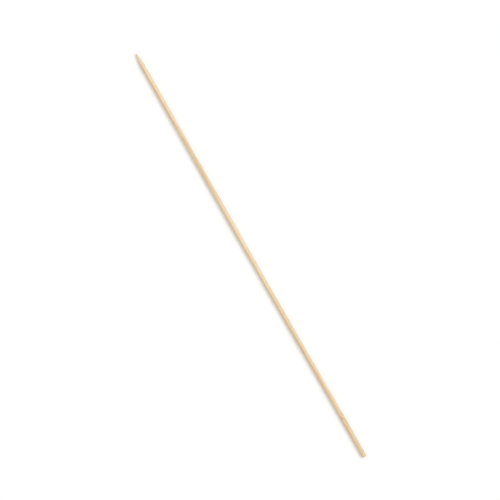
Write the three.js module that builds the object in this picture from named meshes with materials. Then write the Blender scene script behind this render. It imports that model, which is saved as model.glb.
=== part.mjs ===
// A bamboo skewer: one stick of split cane, turned round, sawn square at one end and ground to a
// point at the other. Millimetres. The origin is the centre of the sawn end, +X runs to the point
// and +Z is up as the stick lies. The cane's outer side is at +Z, and the seams are at +Y and -Y.
import * as THREE from 'three';

// Turned shank
const OVERALL_LENGTH = 300;
const SHANK_DIAMETER = 3;
const SEAM_FLAT = 0.7; // width of each flat left where the two half-round cutters met

// Sawn end
const END_BREAK = 0.2; // radius rubbed on its edge when the sticks are tumbled

// Ground point
const POINT_LENGTH = 9.5;
const POINT_FULLNESS = 1.4; // 1 is a straight cone, 2 a parabola that runs out along the shank
const TIP_DIAMETER = 0.5; // where the ground flank meets the blunted tip
const TIP_ROUND = 0.15; // radius that blunts the tip

// Knuckle, where a joint of the cane crosses the stick
const KNUCKLE_DISTANCE = 28; // from the sawn end to its middle
const KNUCKLE_LENGTH = 8;
const KNUCKLE_RISE = 0.1; // how far it stands proud on the cane's outer side
const KNUCKLE_KINK = 0.25; // how far the stick's line is thrown aside there

// Bend that the stick takes as it dries, in the plane that it lies in
const BOW = 0.5;

// Fineness of the surface
const HALF_TURN_STEPS = 16; // facets on each half of the shank, between the seam flats
const SHANK_STEP = 12; // longest facet along the shank
const KNUCKLE_STEPS = 10;
const POINT_STEPS = 14;
const ROUND_STEPS = 4; // facets on the sawn end's edge and on the tip

const shankRadius = SHANK_DIAMETER / 2;
const knuckleStart = KNUCKLE_DISTANCE - KNUCKLE_LENGTH / 2;
const knuckleEnd = KNUCKLE_DISTANCE + KNUCKLE_LENGTH / 2;
const pointStart = OVERALL_LENGTH - POINT_LENGTH;

/** The turned section on a circle of radius 1, with a vertex at both edges and the middle of each flat. */
function sectionOutline() {
  const flatAngle = Math.asin(SEAM_FLAT / SHANK_DIAMETER);
  const outline = [];
  for (const seam of [0, Math.PI]) {
    outline.push(new THREE.Vector2(Math.cos(seam), Math.sin(seam)));
    for (let i = 0; i <= HALF_TURN_STEPS; i += 1) {
      const angle = seam + THREE.MathUtils.lerp(flatAngle, Math.PI - flatAngle, i / HALF_TURN_STEPS);
      outline.push(new THREE.Vector2(Math.cos(angle), Math.sin(angle)));
    }
  }
  return new THREE.Shape(outline);
}

/** Places along the stick where its section is set, from the sawn end to the tip. */
function stationList() {
  const stations = [0];
  const advance = (end, steps, ease = (share) => share) => {
    const start = stations.at(-1);
    for (let i = 1; i <= steps; i += 1) {
      stations.push(THREE.MathUtils.lerp(start, end, ease(i / steps)));
    }
  };
  const shankSteps = (end) => Math.ceil((end - stations.at(-1)) / SHANK_STEP);
  const easeOut = (share) => Math.sin((share * Math.PI) / 2);
  const easeIn = (share) => 1 - Math.cos((share * Math.PI) / 2);
  advance(END_BREAK, ROUND_STEPS, easeIn);
  advance(knuckleStart, shankSteps(knuckleStart));
  advance(knuckleEnd, KNUCKLE_STEPS);
  advance(pointStart, shankSteps(pointStart));
  advance(OVERALL_LENGTH - TIP_ROUND, POINT_STEPS, easeOut);
  advance(OVERALL_LENGTH, ROUND_STEPS, easeOut);
  return stations;
}

/** How far an edge rounded to a radius has drawn in, at a distance from its end. */
function roundedIn(distance, radius) {
  const left = Math.max(radius - distance, 0);
  return radius - Math.sqrt(radius * radius - left * left);
}

/** Radius of the turned and ground stick at x, before the cutters' flats. */
function turnedRadius(x) {
  const left = Math.max(x - pointStart, 0) / POINT_LENGTH;
  const ground = (shankRadius - TIP_DIAMETER / 2) * left ** POINT_FULLNESS;
  return shankRadius - ground - roundedIn(x, END_BREAK) - roundedIn(OVERALL_LENGTH - x, TIP_ROUND);
}

/** Share of the knuckle's rise at x: 1 at its middle, easing to 0 at both its ends. */
function knuckleShare(x) {
  const away = Math.min(Math.abs(x - KNUCKLE_DISTANCE) / (KNUCKLE_LENGTH / 2), 1);
  return (1 + Math.cos(away * Math.PI)) / 2;
}

/** How far the stick's centre line lies aside from the straight line between its two ends, at x. */
function sidewaysAt(x) {
  const share = x / OVERALL_LENGTH;
  const kink = Math.min(x / KNUCKLE_DISTANCE, (OVERALL_LENGTH - x) / (OVERALL_LENGTH - KNUCKLE_DISTANCE));
  return 4 * BOW * share * (1 - share) - KNUCKLE_KINK * kink;
}

/** The stick: its section carried from station to station, turned, ground, flattened and bent. */
function stickGeometry() {
  const stations = stationList();
  const steps = stations.length - 1;
  const stick = new THREE.ExtrudeGeometry(sectionOutline(), { depth: steps, steps, bevelEnabled: false });
  const flatDistance = Math.sqrt(shankRadius ** 2 - (SEAM_FLAT / 2) ** 2);
  const place = stick.attributes.position;
  for (let i = 0; i < place.count; i += 1) {
    const across = place.getX(i);
    const up = place.getY(i);
    const x = stations[Math.round(place.getZ(i))];
    const flat = flatDistance / Math.max(Math.abs(across), flatDistance / shankRadius);
    const rise = KNUCKLE_RISE * knuckleShare(x) * ((1 + up) / 2);
    const reach = Math.min(turnedRadius(x), flat) + rise;
    place.setXYZ(i, x, sidewaysAt(x) + across * reach, up * reach);
  }
  stick.computeVertexNormals();
  return stick;
}

const bamboo = new THREE.MeshStandardMaterial({ color: 0xe3c9a2, roughness: 0.62, metalness: 0 });
const skewer = new THREE.Mesh(stickGeometry(), bamboo);
skewer.name = 'skewer';

const model = new THREE.Group();
model.add(skewer);

export default model;
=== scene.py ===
import math

import bpy
import numpy as np
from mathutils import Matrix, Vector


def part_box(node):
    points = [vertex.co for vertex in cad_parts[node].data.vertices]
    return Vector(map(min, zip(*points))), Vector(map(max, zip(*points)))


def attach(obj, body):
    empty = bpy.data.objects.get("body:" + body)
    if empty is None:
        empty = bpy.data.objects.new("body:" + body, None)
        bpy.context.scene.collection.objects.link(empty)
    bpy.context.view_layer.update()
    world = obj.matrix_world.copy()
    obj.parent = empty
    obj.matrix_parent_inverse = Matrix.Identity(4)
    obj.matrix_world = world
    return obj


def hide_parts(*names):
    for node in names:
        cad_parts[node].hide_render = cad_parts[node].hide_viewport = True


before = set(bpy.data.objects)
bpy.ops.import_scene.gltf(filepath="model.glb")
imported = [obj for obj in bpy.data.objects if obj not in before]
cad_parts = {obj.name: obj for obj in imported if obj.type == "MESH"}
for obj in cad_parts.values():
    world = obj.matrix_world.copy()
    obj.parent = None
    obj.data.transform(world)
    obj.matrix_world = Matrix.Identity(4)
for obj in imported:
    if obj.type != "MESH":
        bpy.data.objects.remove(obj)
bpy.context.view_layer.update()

# The skewer is one stick split from a bamboo cane. Two half-round cutters turned it, which left a
# narrow flat seam along each side; then it was tumbled, sawn square at one end and ground to a
# point at the other. It runs along +X from the sawn end, with the cane's outer side at +Z.
MM = 0.001
stick_low, stick_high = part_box("skewer")
LENGTH = stick_high.x
SHANK_RADIUS = -stick_low.z
SEAM_FLAT = 0.7 * MM
END_BREAK = 0.2 * MM
POINT_LENGTH = 9.5 * MM
POINT_FULLNESS = 1.4
TIP_RADIUS = 0.25 * MM
TIP_ROUND = 0.15 * MM
KNUCKLE_DISTANCE = 28 * MM
KNUCKLE_LENGTH = 8 * MM
KNUCKLE_RISE = stick_high.z - SHANK_RADIUS
KNUCKLE_KINK = 0.25 * MM
BOW = 0.5 * MM
POINT_START = LENGTH - POINT_LENGTH


def rounded_in(distance, radius):
    """How far an edge has drawn in at a distance from its end: the gap beside a quarter circle."""
    left = np.maximum(radius - distance, 0)
    return radius - np.sqrt(radius**2 - left**2)


def turned_radius(along):
    """The shank's radius, less a power of the way into the point, less the rounding of both ends."""
    way_in = np.maximum(along - POINT_START, 0) / POINT_LENGTH
    ground_off = (SHANK_RADIUS - TIP_RADIUS) * way_in**POINT_FULLNESS
    return SHANK_RADIUS - ground_off - rounded_in(along, END_BREAK) - rounded_in(LENGTH - along, TIP_ROUND)


def hump(along, middle, length):
    """A raised cosine: 1 at the middle, easing to 0 at half the length either side."""
    away = np.minimum(np.abs(along - middle) / (length / 2), 1)
    return (1 + np.cos(math.pi * away)) / 2


def sideways(along):
    """The stick's bend: a parabola between its ends, less a straight-sided kink at the knuckle."""
    share = along / LENGTH
    kink = np.minimum(along / KNUCKLE_DISTANCE, (LENGTH - along) / (LENGTH - KNUCKLE_DISTANCE))
    return 4 * BOW * share * (1 - share) - KNUCKLE_KINK * kink


def stick_skin(along, reach, angle):
    """Rows of points round the stick: each row is a circle of its own reach, cut by the seam flats
    at +Y and -Y, raised on the outer side at the knuckle, and moved aside by the stick's bend."""
    along, reach = along[:, None], reach[:, None]
    flat_distance = math.sqrt(SHANK_RADIUS**2 - (SEAM_FLAT / 2) ** 2)
    flat = flat_distance / np.maximum(np.abs(np.cos(angle)), flat_distance / SHANK_RADIUS)
    rise = KNUCKLE_RISE * hump(along, KNUCKLE_DISTANCE, KNUCKLE_LENGTH) * (1 + np.sin(angle)) / 2
    out = np.minimum(reach, flat) + rise * (along > 0)
    across = sideways(along) + np.cos(angle) * out
    return np.stack([along + 0 * out, across, np.sin(angle) * out], axis=2)


def outward(skin):
    """Unit normals of the skin: its step round the stick crossed with its step along it."""
    onward = np.gradient(skin, axis=0)
    around = np.roll(skin, -1, axis=1) - np.roll(skin, 1, axis=1)
    normal = np.cross(around, onward)
    return normal / np.linalg.norm(normal, axis=2, keepdims=True)


# The cutters tore a few strands out of the shank. Each left a long shallow groove that starts at a
# sharp break and runs out along the grain. Widths are in radians, from the middle to one side.
TEARS = 10
TEAR_LENGTHS = (5 * MM, 18 * MM)
TEAR_WIDTHS = (0.05, 0.1)
TEAR_DEPTHS = (0.04 * MM, 0.09 * MM)
TEAR_BREAK = 0.15 * MM
TEAR_FLATNESS = 1.6
chance = np.random.default_rng(28)
tear_starts = chance.uniform(KNUCKLE_DISTANCE + 2 * KNUCKLE_LENGTH, POINT_START - 2 * POINT_LENGTH, TEARS)
tear_lengths = chance.uniform(*TEAR_LENGTHS, TEARS)
tear_angles = chance.uniform(0, 2 * math.pi, TEARS)
tear_widths = chance.uniform(*TEAR_WIDTHS, TEARS)
tear_depths = chance.uniform(*TEAR_DEPTHS, TEARS)

# The stick is one closed skin of rows round it: rings across the sawn end, rows along the side,
# close where the form changes and at each tear's break, and rings across the rounded tip.
COLUMNS = 192
FACE_RINGS = 30
EDGE_ROWS = 6
TIP_ROWS = 6
TIP_RINGS = 2
ROW_CLEARANCE = 0.05 * MM
row_stretches = [
    (3 * MM, 0.1 * MM),
    (KNUCKLE_DISTANCE - 6 * MM, 0.6 * MM),
    (KNUCKLE_DISTANCE - 1.5 * MM, 0.3 * MM),
    (KNUCKLE_DISTANCE + 1.5 * MM, 0.12 * MM),
    (KNUCKLE_DISTANCE + 7 * MM, 0.3 * MM),
    (POINT_START - 1 * MM, 1.15 * MM),
    (LENGTH - TIP_ROUND, 0.1 * MM),
]


def evenly(start, end, step):
    """Places from start up to, but not at, end, evenly spaced and no further apart than step."""
    count = math.ceil((end - start) / step)
    return start + (end - start) * np.arange(count) / count


def with_rows_at(rows, extra, clearance):
    """Rows with extra ones put in, less the old ones that are closer to them than the clearance."""
    crowded = np.abs(rows[:, None] - extra).min(axis=1) < clearance
    return np.sort(np.concatenate([rows[~crowded], extra]))


edge_turn = np.linspace(0, math.pi / 2, EDGE_ROWS, endpoint=False)
tip_turn = np.linspace(0, math.pi / 2, TIP_ROWS)
shank_rows, stretch_start = [], END_BREAK
for stretch_end, step in row_stretches:
    shank_rows.append(evenly(stretch_start, stretch_end, step))
    stretch_start = stretch_end
tear_rows = np.concatenate([tear_starts, tear_starts + TEAR_BREAK])
side_rows = np.concatenate([
    END_BREAK * (1 - np.cos(edge_turn)),
    with_rows_at(np.concatenate(shank_rows), tear_rows, ROW_CLEARANCE),
    LENGTH - TIP_ROUND * (1 - np.sin(tip_turn)),
])
face_rings = np.linspace(0, SHANK_RADIUS - END_BREAK, FACE_RINGS + 1)[1:-1]
tip_rings = np.linspace(turned_radius(LENGTH), 0, TIP_RINGS + 2)[1:-1]
row_along = np.concatenate([0 * face_rings, side_rows, LENGTH + 0 * tip_rings])
row_reach = np.concatenate([face_rings, turned_radius(side_rows), tip_rings])
column_angle = 2 * math.pi * np.arange(COLUMNS) / COLUMNS
skin = stick_skin(row_along, row_reach, column_angle)

# Fibre bundles run the length of the cane wall, small and close at its outer side, wide and far
# apart at its inner side. They lean a little from the stick's own line, so each comes to the
# surface as a long streak, shows as a dot on the sawn end and as a pointed oval on the point.
BUNDLE_ROWS = 9
BUNDLE_SPACING = 0.23 * MM
BUNDLE_GROWTH = 1.15
BUNDLE_SHARE = 0.33
BUNDLE_SIZES = (0.8, 1.15)
BUNDLE_JITTER = 0.2
BUNDLE_MARGIN = 2.2 * MM
BUNDLE_HEADROOM = 0.3 * MM
BUNDLE_SWAY = 0.04 * MM
BUNDLE_WAVES = (35 * MM, 90 * MM)
BUNDLE_THINNING = 0.12
THINNING_STRETCH = 1.7
BUNDLE_EDGE = 1.6
BUNDLE_LOBES = 0.07
GRAIN_LEAN_ACROSS = 0.0034
GRAIN_LEAN_IN = -0.0015
TANGLE = 0.18 * MM
TANGLE_LENGTH = 11 * MM


def cane_bundles():
    """Bundle middles at mid-length, row by row from the outer side in: each row lies deeper by its
    own spacing, which grows from row to row, and its bundles are set off by half and jittered."""
    bundles = []
    for row in range(BUNDLE_ROWS):
        spacing = BUNDLE_SPACING * BUNDLE_GROWTH**row
        depth = BUNDLE_SPACING * (BUNDLE_GROWTH**row - 1) / (BUNDLE_GROWTH - 1)
        across = np.arange(-BUNDLE_MARGIN, BUNDLE_MARGIN, spacing) + (row % 2) * spacing / 2
        across += chance.uniform(-BUNDLE_JITTER, BUNDLE_JITTER, across.size) * spacing
        up = SHANK_RADIUS + BUNDLE_HEADROOM - depth
        up = up + chance.uniform(-BUNDLE_JITTER, BUNDLE_JITTER, across.size) * spacing
        size = spacing * BUNDLE_SHARE * chance.uniform(*BUNDLE_SIZES, across.size)
        bundles.append(np.stack([across, up, size], axis=1))
    return np.concatenate(bundles)


def bundle_fields(skin, bundles):
    """Where each point lies in its nearest bundle, and how near its middle. The place is the step from
    the bundle's line over its radius, turned by the bundle's own angle, with its tone as third number.
    Nearness falls evenly from 1 on the line to 0 well outside, drawn in and out three times around.
    The line leans, sways as a sine and is thrown aside at the knuckle."""
    along = skin[..., 0]
    across = skin[..., 1] - sideways(along) - GRAIN_LEAN_ACROSS * (along - LENGTH / 2)
    up = skin[..., 2] - GRAIN_LEAN_IN * (along - LENGTH / 2)
    jolt = hump(along, KNUCKLE_DISTANCE, TANGLE_LENGTH)
    nearness = np.zeros_like(along)
    place = np.zeros(along.shape + (3,))
    for middle, height, size in bundles:
        wave, phase = chance.uniform(*BUNDLE_WAVES), chance.uniform(0, 2 * math.pi)
        push_across, push_up = chance.normal(0, TANGLE, 2)
        tone, turn = chance.uniform(0, 1), chance.uniform(0, 2 * math.pi)
        sway = BUNDLE_SWAY * np.sin(2 * math.pi * along / wave + phase)
        swelling = np.sin(2 * math.pi * along / (THINNING_STRETCH * wave) - phase)
        radius = size * (1 - BUNDLE_THINNING * (1 + swelling))
        step_across = (across - middle - sway - push_across * jolt) / radius
        step_up = (up - height - push_up * jolt) / radius
        own_across = step_across * math.cos(turn) + step_up * math.sin(turn)
        own_up = step_up * math.cos(turn) - step_across * math.sin(turn)
        lobes = 1 - BUNDLE_LOBES * np.cos(3 * np.arctan2(own_up, own_across))
        near = np.clip(1 - np.hypot(own_across, own_up) * lobes / BUNDLE_EDGE, 0, 1)
        own_place = np.stack([own_across, own_up, tone + 0 * along], axis=-1)
        place = np.where((near > nearness)[..., None], own_place, place)
        nearness = np.maximum(nearness, near)
    return nearness, place


nearness, bundle_place = bundle_fields(skin, cane_bundles())

# Wear and tool marks: soft tissue rubbed down between the bundles, the torn strands, a thin fin
# in the middle of each seam, the scar round the knuckle, chips round the sawn edge, saw lines
# across the end, and rings left where the point was rolled on the grinding belt.
SOFT_WEAR = 0.018 * MM
WEAR_SLOPE = (0.12, 0.6)
WEAR_GROUND_OFF = 0.6
FIN_HEIGHT = 0.014 * MM
FIN_WIDTH = 0.07 * MM
SCAR_DEPTH = 0.028 * MM
SCAR_WIDTH = 0.22 * MM
SCAR_SLANT = 0.6 * MM
SCAR_WAVES = [(1, 1, 0.6), (5, 0.22, -1.57), (11, 0.1, 0)]
SCAR_LIP = 0.8
SCAR_LIP_PLACE = 1.6
SCAR_ON_INNER_SIDE = 0.2
CHIPS = 7
CHIP_WIDTHS = (0.05, 0.13)
CHIP_DEPTHS = (0.03 * MM, 0.09 * MM)
CHIP_RUNS = (0.4 * MM, 1.6 * MM)
CHIP_FACE_POWER = 6
SAW_LINE_PITCH = 0.23 * MM
SAW_LINE_DEPTH = 0.016 * MM
SAW_LINE_TURN = math.radians(37)
GRIND_RINGS = 60
GRIND_RING_DEPTH = 0.009 * MM
GRIND_SHOULDER = 1.2 * MM
SAWN_REACH = END_BREAK / 4
UNMARKED_MIDDLE = 0.1 * MM


def eased(value, low, high):
    """0 below low and 1 above high, with a smooth step between."""
    share = np.clip((value - low) / (high - low), 0, 1)
    return share * share * (3 - 2 * share)


def turned_away(angle, middle):
    """Angle from a middle line, wrapped so that it is never more than half a turn."""
    return np.abs((angle - middle + math.pi) % (2 * math.pi) - math.pi)


def torn_strands(along, angle):
    """Depth of the tears: full past the break, then the root of what is left of the length, with
    steep sides and a flat floor across, along a line that leans as the grain does."""
    depth = np.zeros_like(along + angle)
    for start, length, middle, width, deep in zip(
        tear_starts, tear_lengths, tear_angles, tear_widths, tear_depths
    ):
        past = along - start
        run = np.clip(past / TEAR_BREAK, 0, 1) * np.clip(1 - past / length, 0, 1)
        lean = GRAIN_LEAN_ACROSS * past / SHANK_RADIUS
        arch = 1 - (turned_away(angle, middle - lean) / width) ** 2
        across = np.clip(TEAR_FLATNESS * arch, 0, 1)
        depth = np.maximum(depth, deep * np.sqrt(run) * across)
    return depth


def edge_chips(along, reach, angle):
    """Nicks round the sawn edge: each is a bell in angle. It fades as the square of what is left of its
    run along the side, and over the face as a higher power of the reach, so it keeps to the edge."""
    depth = np.zeros_like(along + angle)
    for _ in range(CHIPS):
        middle, width = chance.uniform(0, 2 * math.pi), chance.uniform(*CHIP_WIDTHS)
        deep, run = chance.uniform(*CHIP_DEPTHS), chance.uniform(*CHIP_RUNS)
        bell = np.exp(-((turned_away(angle, middle) / width) ** 2))
        along_side = np.clip(1 - along / run, 0, 1) ** 2
        over_face = np.clip(reach / SHANK_RADIUS, 0, 1) ** CHIP_FACE_POWER
        depth = np.maximum(depth, deep * bell * along_side * over_face)
    return depth


def fuller_outside(angle, inner_share):
    """A share that is 1 on the cane's outer side and falls with the height to the inner side's own."""
    return inner_share + (1 - inner_share) * (1 + np.sin(angle)) / 2


def knuckle_scar(along, angle):
    """A groove that slants and wavers round the knuckle, a bell across, with a low lip past it. The
    waver is a sum of cosines of the angle, each with its turns, its amount and its phase."""
    waver = sum(amount * np.cos(turns * angle + phase) for turns, amount, phase in SCAR_WAVES)
    off = (along - KNUCKLE_DISTANCE - SCAR_SLANT * waver) / SCAR_WIDTH
    profile = np.exp(-(off**2)) - SCAR_LIP * np.exp(-((off - SCAR_LIP_PLACE) ** 2))
    return SCAR_DEPTH * profile * fuller_outside(angle, SCAR_ON_INNER_SIDE)


along, reach, angle = row_along[:, None], row_reach[:, None], column_angle[None, :]
sawn = 1.0 * (along + 0 * angle < SAWN_REACH)
ground = np.clip((along - POINT_START) / GRIND_SHOULDER, 0, 1) + 0 * angle
worn_down = SOFT_WEAR * (1 - eased(nearness, *WEAR_SLOPE)) * (1 - WEAR_GROUND_OFF * ground)
tear = torn_strands(along, angle)
chip = edge_chips(along, reach, angle)
scar = knuckle_scar(along, angle)
fin = FIN_HEIGHT * np.exp(-((np.sin(angle) * reach / FIN_WIDTH) ** 2)) * (1 - ground) * (1 - sawn)
across_saw = skin[..., 1] * math.cos(SAW_LINE_TURN) + skin[..., 2] * math.sin(SAW_LINE_TURN)
saw_lines = SAW_LINE_DEPTH * (1 + np.sin(2 * math.pi * across_saw / SAW_LINE_PITCH)) * sawn
ring_places = np.linspace(POINT_START, LENGTH, GRIND_RINGS)
ring_depths = np.interp(along, ring_places, chance.uniform(0, GRIND_RING_DEPTH, GRIND_RINGS))
off_the_middle = np.clip((reach - UNMARKED_MIDDLE) / TIP_RADIUS, 0, 1)
marks = np.maximum(worn_down + tear + chip + scar - fin + saw_lines + ground * ring_depths, 0)
stick_points = skin - outward(skin) * (marks * off_the_middle)[..., None]

rows = len(row_along)
first_pole, last_pole, last_row = rows * COLUMNS, rows * COLUMNS + 1, (rows - 1) * COLUMNS
face_row, face_column = np.meshgrid(np.arange(rows - 1), np.arange(COLUMNS), indexing="ij")
corner_row = face_row[..., None] + np.array([0, 0, 1, 1])
corner_column = face_column[..., None] + np.array([0, 1, 1, 0])
quads = corner_row * COLUMNS + corner_column % COLUMNS
column = np.arange(COLUMNS)
next_column = (column + 1) % COLUMNS
end_fan = np.stack([0 * column + first_pole, next_column, column], axis=1)
tip_fan = np.stack([0 * column + last_pole, last_row + column, last_row + next_column], axis=1)
points = np.concatenate([stick_points.reshape(-1, 3), [[0, 0, 0], [LENGTH, sideways(LENGTH), 0]]])
stick_mesh = bpy.data.meshes.new("skewer_stick")
faces = quads.reshape(-1, 4).tolist() + end_fan.tolist() + tip_fan.tolist()
stick_mesh.from_pydata(points, [], faces)
stick_mesh.shade_smooth()


def paint_on(mesh, name, grid):
    """Stores one value for each point as an attribute. A pole takes the mean of the ring beside it."""
    values = np.broadcast_to(grid, (rows, COLUMNS))
    values = np.concatenate([values.ravel(), [values[0].mean(), values[-1].mean()]])
    mesh.attributes.new(name, "FLOAT", "POINT").data.foreach_set("value", values.astype(np.float32))


TEAR_SHOWS = 0.04 * MM
STAIN_MIDDLE = KNUCKLE_DISTANCE - 0.7 * MM
STAIN_LENGTH = 17 * MM
STAIN_ON_INNER_SIDE = 0.5
painted = {
    "nearness": nearness,
    "bundle_across": bundle_place[..., 0],
    "bundle_up": bundle_place[..., 1],
    "bundle_tone": bundle_place[..., 2],
    "outer_side": np.clip((1 + skin[..., 2] / SHANK_RADIUS) / 2, 0, 1),
    "stained": hump(along, STAIN_MIDDLE, STAIN_LENGTH) * fuller_outside(angle, STAIN_ON_INNER_SIDE),
    "scar": np.clip(scar / SCAR_DEPTH, 0, 1),
    "ground": ground,
    "sawn": sawn,
    # Painted shade: 1 along the bottoms of the saw grooves on the sawn end, where the colour is darkened.
    "saw_groove_shade": saw_lines / (2 * SAW_LINE_DEPTH),
    "torn": np.clip((tear + chip) / TEAR_SHOWS, 0, 1),
}
for name, grid in painted.items():
    paint_on(stick_mesh, name, grid)

# Its finish is kept through a flat map: the side is cut into three lengths that lie one above
# the other, drawn out across the grain, and the sawn end and the tip are discs beside them.
MAP_BANDS = 3
BANDS_SHARE = 0.76
BAND_MARGIN = 0.012
END_DISC_PLACE = (0.14, 0.88)
END_DISC_RADIUS = 0.112
TIP_DISC_PLACE = (0.36, 0.88)
TIP_DISC_RADIUS = 0.04
side_first, side_last = len(face_rings), rows - 1 - TIP_RINGS
row_step = np.hypot(np.diff(row_along), np.diff(row_reach))
skin_run = np.concatenate([[0], np.cumsum(row_step)])
skin_run = skin_run - skin_run[side_first]
band_run = skin_run[side_last] / MAP_BANDS


def band_place():
    """Map place of each quad's corners on the side: right by how far the row is along its band, and
    up by the band and the column. A quad lies whole in the band that its first row is in."""
    band = np.clip(skin_run[face_row[..., None]] // band_run, 0, MAP_BANDS - 1)
    share_along = skin_run[corner_row] / band_run - band
    right = BAND_MARGIN + (1 - 2 * BAND_MARGIN) * share_along
    up = (band + BAND_MARGIN + (1 - 2 * BAND_MARGIN) * corner_column / COLUMNS) / MAP_BANDS
    return np.stack([right, BANDS_SHARE * up], axis=-1)


def disc_place(corners, place, scale):
    """Map place of corners on the sawn end or the tip: their Y and Z, scaled about the disc's middle."""
    return points[corners][..., 1:] * scale + np.array(place)


on_end, on_tip = (face_row < side_first)[..., None, None], (face_row >= side_last)[..., None, None]
end_scale, tip_scale = END_DISC_RADIUS / SHANK_RADIUS, TIP_DISC_RADIUS / TIP_RADIUS
on_end_disc = disc_place(quads, END_DISC_PLACE, end_scale)
on_tip_disc = disc_place(quads, TIP_DISC_PLACE, tip_scale)
quad_places = np.where(on_end, on_end_disc, np.where(on_tip, on_tip_disc, band_place()))
map_places = np.concatenate([
    quad_places.reshape(-1, 2),
    disc_place(end_fan, END_DISC_PLACE, end_scale).reshape(-1, 2),
    disc_place(tip_fan, TIP_DISC_PLACE, tip_scale).reshape(-1, 2),
])
stick_map = stick_mesh.uv_layers.new(name="OFBake")
stick_map.uv.foreach_set("vector", map_places.astype(np.float32).ravel())

# Bare tumbled bamboo: pale straw-coloured soft tissue streaked with tan fibre, browner and finer
# on the outer side, orange and mottled at the knuckle, paler and rougher where it was cut last,
# with painted shade in the saw grooves across the sawn end.


def screen(red, green, blue):
    """A colour as it shows on a screen, 0 to 255, turned to a shader's linear values by the sRGB curve:
    a straight line near black, and a power of 2.4 above it."""
    shown = np.array([red, green, blue]) / 255
    linear = np.where(shown > 0.04045, ((shown + 0.055) / 1.055) ** 2.4, shown / 12.92)
    return (*linear.tolist(), 1)


SOFT_TISSUE = screen(253, 235, 202)
OUTER_TISSUE = screen(250, 229, 193)
BUTT_TONE = screen(232, 204, 160)
BUTT_FADE = 50 * MM
FIBRE = screen(205, 165, 115)
OUTER_FIBRE = screen(214, 178, 130)
FLECK = screen(168, 120, 74)
VESSEL = screen(122, 82, 48)
KNUCKLE_STAIN = screen(218, 170, 114)
KNUCKLE_LINE = screen(158, 106, 62)
FRESH_CUT = screen(250, 233, 202)
END_GRAIN = screen(228, 201, 157)
# The sawn end's fibre colour, which is also the tint of the painted shade in its saw grooves.
END_FIBRE_AND_SAW_SHADE = screen(172, 128, 84)
TORN = screen(250, 233, 203)
BUNDLE_RIM = (0.3, 0.42)
BUNDLE_STRENGTHS = (0.45, 0.95)
FRAY_ON_SIDE = (-0.05, 0.05)
FRAY_ON_SAWN_END = (0.05, -0.1)
VESSELS = [((0.36, 0.14), 0.21), ((-0.34, 0.2), 0.17), ((0.05, -0.42), 0.12)]
VESSEL_RIM = 0.15
VESSELS_ON_OUTER_SIDE = 0.55
CLOSED_VESSEL = 0.15
CLOGGED_VESSEL = 0.65
STAIN_STRENGTHS = (0.05, 0.7)
LINE_STRENGTHS = (0.1, 0.4)
ROUGHNESS = (0.46, 0.64)
CUT_ROUGHNESS = 0.18
SHEEN_LEVEL = 0.4
RELIEF = 0.014 * MM
RELIEF_STRENGTH = 0.8

bamboo = bpy.data.materials.new("tumbled_bamboo")
bamboo.use_nodes = True
tree = bamboo.node_tree
shader = tree.nodes["Principled BSDF"]


def plug(value, socket):
    """Links a node's output to a socket, or sets the socket to a plain value."""
    if isinstance(value, bpy.types.NodeSocket):
        tree.links.new(value, socket)
    else:
        socket.default_value = value


def reckoned(operation, first, second):
    """Two values put through one operation of arithmetic."""
    node = tree.nodes.new("ShaderNodeMath")
    node.operation = operation
    plug(first, node.inputs[0])
    plug(second, node.inputs[1])
    return node.outputs["Value"]


def added(first, second):
    """Two values added."""
    return reckoned("ADD", first, second)


def product(first, second):
    """Two values multiplied."""
    return reckoned("MULTIPLY", first, second)


def ranged(value, low, high, to_low, to_high):
    """A value carried from low..high to to_low..to_high, and held there."""
    node = tree.nodes.new("ShaderNodeMapRange")
    for socket, given in zip(node.inputs, (value, low, high, to_low, to_high)):
        plug(given, socket)
    return node.outputs["Result"]


def blended(mask, first, second):
    """A colour: first where the mask is 0, second where it is 1."""
    node = tree.nodes.new("ShaderNodeMix")
    node.data_type = "RGBA"
    plug(mask, node.inputs["Factor"])
    plug(first, node.inputs[6])
    plug(second, node.inputs[7])
    return node.outputs[2]


def tinted(colour, layers):
    """A colour moved towards each layer's tint in turn, where that layer's mask is 1, and all the way
    at a strength of 1."""
    for tint, mask, strength in layers:
        colour = blended(product(mask, strength), colour, tint)
    return colour


def stored(name):
    """The value of one of the mesh's attributes."""
    node = tree.nodes.new("ShaderNodeAttribute")
    node.attribute_name = name
    return node.outputs["Fac"]


def placed():
    """The object's own coordinates, in which X runs along the stick from its sawn end."""
    return tree.nodes.new("ShaderNodeTexCoord").outputs["Object"]


def grain_noise(length, width, detail, low, high):
    """Noise whose waves have one length along the grain and one width across it. What lies between
    low and high is stretched to 0..1."""
    mapping = tree.nodes.new("ShaderNodeMapping")
    mapping.inputs["Scale"].default_value = (1 / length, 1 / width, 1 / width)
    noise = tree.nodes.new("ShaderNodeTexNoise")
    noise.inputs["Scale"].default_value = 1
    noise.inputs["Detail"].default_value = detail
    tree.links.new(placed(), mapping.inputs["Vector"])
    tree.links.new(mapping.outputs["Vector"], noise.inputs["Vector"])
    return ranged(noise.outputs["Fac"], low, high, 0, 1)


def spot(across, up, place, radius):
    """1 inside a round spot of a bundle's section and 0 outside, with a narrow edge between."""
    section = tree.nodes.new("ShaderNodeCombineXYZ")
    distance = tree.nodes.new("ShaderNodeVectorMath")
    distance.operation = "DISTANCE"
    plug(across, section.inputs["X"])
    plug(up, section.inputs["Y"])
    tree.links.new(section.outputs["Vector"], distance.inputs[0])
    distance.inputs[1].default_value = (*place, 0)
    inner, outer = radius * (1 - VESSEL_RIM), radius * (1 + VESSEL_RIM)
    return ranged(distance.outputs["Value"], inner, outer, 1, 0)


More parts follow.
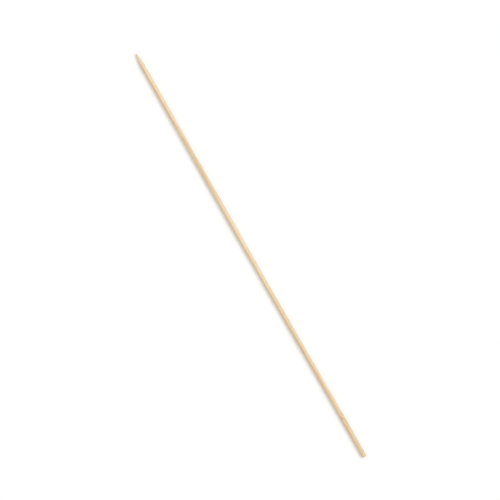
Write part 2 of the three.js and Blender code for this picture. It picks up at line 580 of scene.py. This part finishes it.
# Single fibres, streaks of bundles just under the skin, drift of the tissue's tone, lengths of vessel
# cut open, short pores, patches of stain, scratches of the grinding belt, and cells cut by the saw.
# Each gives its length along the grain, its width across, its detail, and the range it is cut to.
hair_lines = grain_noise(12.5 * MM, 0.11 * MM, 5, 0.4, 0.62)
long_streaks = grain_noise(110 * MM, 0.77 * MM, 3, 0.4, 0.66)
slow_tone = grain_noise(62 * MM, 11 * MM, 2, 0.35, 0.65)
dashes = grain_noise(3.8 * MM, 0.25 * MM, 2, 0.42, 0.52)
flecks = grain_noise(1.9 * MM, 0.09 * MM, 2, 0.56, 0.66)
mottle = grain_noise(2.6 * MM, 1.1 * MM, 3, 0.46, 0.6)
grind_lines = grain_noise(0.06 * MM, 1.4 * MM, 3, 0.35, 0.65)
cells = grain_noise(0.045 * MM, 0.045 * MM, 3, 0.42, 0.66)
on_ground, on_sawn, on_outer = stored("ground"), stored("sawn"), stored("outer_side")
position = tree.nodes.new("ShaderNodeSeparateXYZ")
tree.links.new(placed(), position.inputs["Vector"])
near_butt = ranged(position.outputs["X"], 0, BUTT_FADE, 1, 0)

# A bundle's rim frays with the fibres on the side, and with the cells on the sawn end.
frayed = added(stored("nearness"), ranged(hair_lines, 0, 1, *FRAY_ON_SIDE))
frayed = added(frayed, product(on_sawn, ranged(cells, 0, 1, *FRAY_ON_SAWN_END)))
bundle = ranged(frayed, *BUNDLE_RIM, 0, 1)

# Vessels are fainter on the outer side, open in lengths along the side and half clogged where sawn.
bundle_across, bundle_up = stored("bundle_across"), stored("bundle_up")
vessels = 0
for place, radius in VESSELS:
    vessels = added(vessels, spot(bundle_across, bundle_up, place, radius))
vessels = product(product(vessels, bundle), ranged(on_outer, 0.5, 1, 1, VESSELS_ON_OUTER_SIDE))
clogged = product(on_sawn, ranged(cells, 0, 1, 0, CLOGGED_VESSEL))
cut_open = ranged(added(dashes, on_sawn), 0, 1, CLOSED_VESSEL, 1)
open_vessels = product(vessels, added(cut_open, product(clogged, -1)))

# The colour is laid on in layers, each with its tint, where it lies and how strongly it covers.
tissue = tinted(blended(on_outer, SOFT_TISSUE, OUTER_TISSUE), [
    (BUTT_TONE, slow_tone, 0.3),
    (BUTT_TONE, near_butt, 0.45),
    (FRESH_CUT, on_ground, 0.5),
    (END_GRAIN, on_sawn, 0.9),
    (END_FIBRE_AND_SAW_SHADE, product(on_sawn, cells), 0.3),
    # Painted shade in the saw grooves, which darkens the end towards its fibre colour.
    (END_FIBRE_AND_SAW_SHADE, stored("saw_groove_shade"), 0.3),
])
fibre = blended(on_outer, FIBRE, OUTER_FIBRE)
bundle_colour = blended(on_sawn, fibre, END_FIBRE_AND_SAW_SHADE)
colour = tinted(tissue, [
    (bundle_colour, bundle, ranged(stored("bundle_tone"), 0, 1, *BUNDLE_STRENGTHS)),
    (fibre, long_streaks, 0.3),
    (fibre, hair_lines, 0.34),
    (FLECK, flecks, 0.3),
    (VESSEL, open_vessels, 0.7),
    (TORN, stored("torn"), 0.55),
    (KNUCKLE_STAIN, stored("stained"), ranged(mottle, 0, 1, *STAIN_STRENGTHS)),
    (KNUCKLE_LINE, stored("scar"), ranged(mottle, 0, 1, *LINE_STRENGTHS)),
])
tree.links.new(colour, shader.inputs["Base Color"])

rubbed = ranged(hair_lines, 0, 1, *ROUGHNESS)
freshly_cut = product(added(on_ground, on_sawn), CUT_ROUGHNESS)
tree.links.new(added(rubbed, freshly_cut), shader.inputs["Roughness"])
shader.inputs["Specular IOR Level"].default_value = SHEEN_LEVEL

# The fine relief is a sum of marks, each with its share of the height, which is below 0 for a pit.
relief = [
    (hair_lines, 1),
    (bundle, 0.6),
    (open_vessels, -2.5),
    (flecks, -0.5),
    (product(on_ground, grind_lines), 0.8),
]
height = 0
for mark, share in relief:
    height = added(height, product(mark, share))
bump = tree.nodes.new("ShaderNodeBump")
bump.inputs["Strength"].default_value = RELIEF_STRENGTH
bump.inputs["Distance"].default_value = RELIEF
tree.links.new(height, bump.inputs["Height"])
tree.links.new(bump.outputs["Normal"], shader.inputs["Normal"])
stick_mesh.materials.append(bamboo)

stick = bpy.data.objects.new("skewer_stick", stick_mesh)
bpy.context.scene.collection.objects.link(stick)
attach(stick, "root")
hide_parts("skewer")

# The stick lies on a plain white floor, which keeps only its soft shadow. Rays that the camera or
# a reflection sends see a little light of the floor's own, so that it shows white.
FLOOR_SIDE = 8
FLOOR_WHITE = 0.86
floor_half = FLOOR_SIDE / 2
floor_corners = np.array([[-1, -1], [1, -1], [1, 1], [-1, 1]]) * floor_half
floor_mesh = bpy.data.meshes.new("floor")
floor_points = np.column_stack([floor_corners + [LENGTH / 2, 0], np.full(4, stick_low.z)])
floor_mesh.from_pydata(floor_points, [], [[0, 1, 2, 3]])
floor_paint = bpy.data.materials.new("floor_white")
floor_paint.use_nodes = True
floor_tree = floor_paint.node_tree
floor_shader = floor_tree.nodes["Principled BSDF"]
floor_shader.inputs["Base Color"].default_value = (FLOOR_WHITE, FLOOR_WHITE, FLOOR_WHITE, 1)
floor_shader.inputs["Roughness"].default_value = 1
floor_shader.inputs["Specular IOR Level"].default_value = 0
floor_shader.inputs["Emission Color"].default_value = (1, 1, 1, 1)


def seen_directly(node_tree, unseen, seen):
    """A number that is seen on camera and glossy rays, and unseen on the rays that light things."""
    path = node_tree.nodes.new("ShaderNodeLightPath")
    either = node_tree.nodes.new("ShaderNodeMath")
    either.operation = "MAXIMUM"
    reach_out = node_tree.nodes.new("ShaderNodeMapRange")
    node_tree.links.new(path.outputs["Is Camera Ray"], either.inputs[0])
    node_tree.links.new(path.outputs["Is Glossy Ray"], either.inputs[1])
    node_tree.links.new(either.outputs["Value"], reach_out.inputs["Value"])
    reach_out.inputs["To Min"].default_value = unseen
    reach_out.inputs["To Max"].default_value = seen
    return reach_out.outputs["Result"]


floor_tree.links.new(seen_directly(floor_tree, 0, 1 - FLOOR_WHITE), floor_shader.inputs["Emission Strength"])
floor_mesh.materials.append(floor_paint)
floor = bpy.data.objects.new("floor", floor_mesh)
bpy.context.scene.collection.objects.link(floor)

# Soft studio light: an even white surround, and one broad light from above and from the stick's
# -Y side, where the photograph's light comes from. It is far off, so it lights the floor evenly.
SURROUND = 0.71
KEY_LIGHT = 0.38
KEY_BREADTH = math.radians(32)
KEY_TILT = math.radians(36)
world = bpy.data.worlds.new("surround")
bpy.context.scene.world = world
world.use_nodes = True
surround = world.node_tree.nodes["Background"]
surround.inputs["Color"].default_value = (1, 1, 1, 1)
world.node_tree.links.new(seen_directly(world.node_tree, SURROUND, 1), surround.inputs["Strength"])
key_data = bpy.data.lights.new("key_light", "SUN")
key_data.angle = KEY_BREADTH
key_data.energy = KEY_LIGHT * math.pi
key_light = bpy.data.objects.new("key_light", key_data)
key_light.rotation_euler = (KEY_TILT, 0, 0)
bpy.context.scene.collection.objects.link(key_light)

# The camera looks straight down on the stick, turned so that its tip and its sawn end come where
# they are in the photograph. The lens follows from the height and the stick's length there.
CAMERA_HEIGHT = 1.9
SENSOR_WIDTH = 36
PHOTO_SIDE = 500
TIP_PIXEL = np.array([135.8, 53.5])
SAWN_END_PIXEL = np.array([364.5, 456.7])
in_photo = (TIP_PIXEL - SAWN_END_PIXEL) * (1, -1)
pixels_per_metre = np.linalg.norm(in_photo) / LENGTH
camera_turn = -math.atan2(in_photo[1], in_photo[0])
rightward = np.array([math.cos(camera_turn), math.sin(camera_turn)])
upward = np.array([-math.sin(camera_turn), math.cos(camera_turn)])
to_centre = (PHOTO_SIDE / 2 - SAWN_END_PIXEL) * (1, -1) / pixels_per_metre
camera_data = bpy.data.cameras.new("camera")
camera_data.sensor_width = SENSOR_WIDTH
camera_data.lens = SENSOR_WIDTH * CAMERA_HEIGHT * pixels_per_metre / PHOTO_SIDE
camera = bpy.data.objects.new("camera", camera_data)
camera.location = (*(to_centre[0] * rightward + to_centre[1] * upward), CAMERA_HEIGHT)
camera.rotation_euler = (0, 0, camera_turn)
bpy.context.scene.collection.objects.link(camera)
bpy.context.scene.camera = camera
bpy.context.scene.view_settings.view_transform = "Standard"
